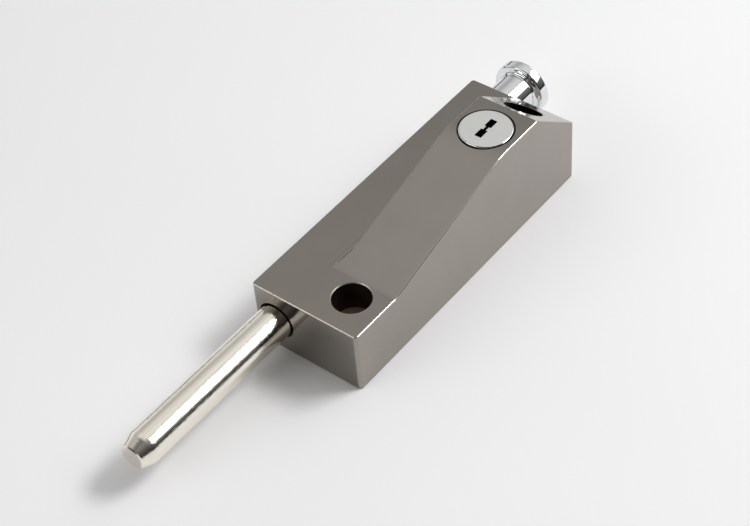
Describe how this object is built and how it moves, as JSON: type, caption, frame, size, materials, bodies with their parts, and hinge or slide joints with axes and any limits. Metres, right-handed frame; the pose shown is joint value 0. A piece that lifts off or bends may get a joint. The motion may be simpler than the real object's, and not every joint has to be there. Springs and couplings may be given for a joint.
{
  "type": "floor bolt lock",
  "caption": "Surface-mounted key-locked push bolt for a door or window foot: a ramped die-cast housing, a sliding round bolt with a pull knob, and a key cylinder that locks the bolt in or out.",
  "frame": {"origin": "middle of the flat mounting face behind the housing", "axes": "+X along the bolt from its tip to the knob, +Y across the housing toward the bolt, +Z out of the door, through the key cylinder's face"},
  "size_m": [0.1997, 0.0425, 0.0393],
  "materials": {
    "black_nickel_casting": "polished zinc die casting, black nickel plated",
    "nickel_plated_rod": "turned steel, nickel plated, fine lengthwise marks",
    "polished_chrome": "polished chrome plate",
    "satin_chrome_plug": "brass, faced and satin chrome plated",
    "zinc_plated_steel": "bright zinc plate",
    "turned_steel": "turned and oiled steel",
    "spring_wire": "drawn spring steel",
    "bronze_bush": "sintered bronze, oiled",
    "brass_wafers": "stamped brass",
    "zinc_casting": "bare zinc die casting",
    "nylon": "natural nylon"
  },
  "bodies": {
    "housing": {"housing": "black_nickel_casting", "back_plate": "zinc_plated_steel", "back_plate_screws": "zinc_plated_steel", "front_bush": "bronze_bush", "rear_bush": "bronze_bush", "return_spring": "spring_wire", "cylinder_body": "zinc_casting", "cylinder_clip": "spring_wire", "latch_guide": "zinc_plated_steel", "latch_guide_screws": "zinc_plated_steel"},
    "bolt": {"bolt_rod": "nickel_plated_rod", "buffer_washer": "nylon", "locking_spindle": "turned_steel", "knob_stud": "zinc_plated_steel", "knob": "polished_chrome"},
    "key_plug": {"cylinder_plug": "satin_chrome_plug", "plug_wafers": "brass_wafers", "wafer_springs": "spring_wire", "cam": "turned_steel", "cam_roll_pin": "spring_wire"},
    "latch": {"latch_slide": "turned_steel"}
  },
  "joints": [
    {"name": "bolt_throw", "type": "slide", "parent": "housing", "child": "bolt", "axis": [-1, 0, 0], "range_m": [0, 0.013], "stiffness_N_per_m": 400, "springref_m": -0.01, "deforming": ["return_spring"]},
    {"name": "key_turn", "type": "hinge", "parent": "housing", "child": "key_plug", "pos_m": [0.025, -0.009, 0.0275], "axis": [0, 0, -1], "range_deg": [0, 90]},
    {"name": "latch_throw", "type": "slide", "parent": "housing", "child": "latch", "axis": [0, 1, 0], "range_m": [0, 0.003]}
  ],
  "couplings": [
    {"joint": "key_turn", "follows": "latch_throw", "rad_per_m": 523.6}
  ]
}
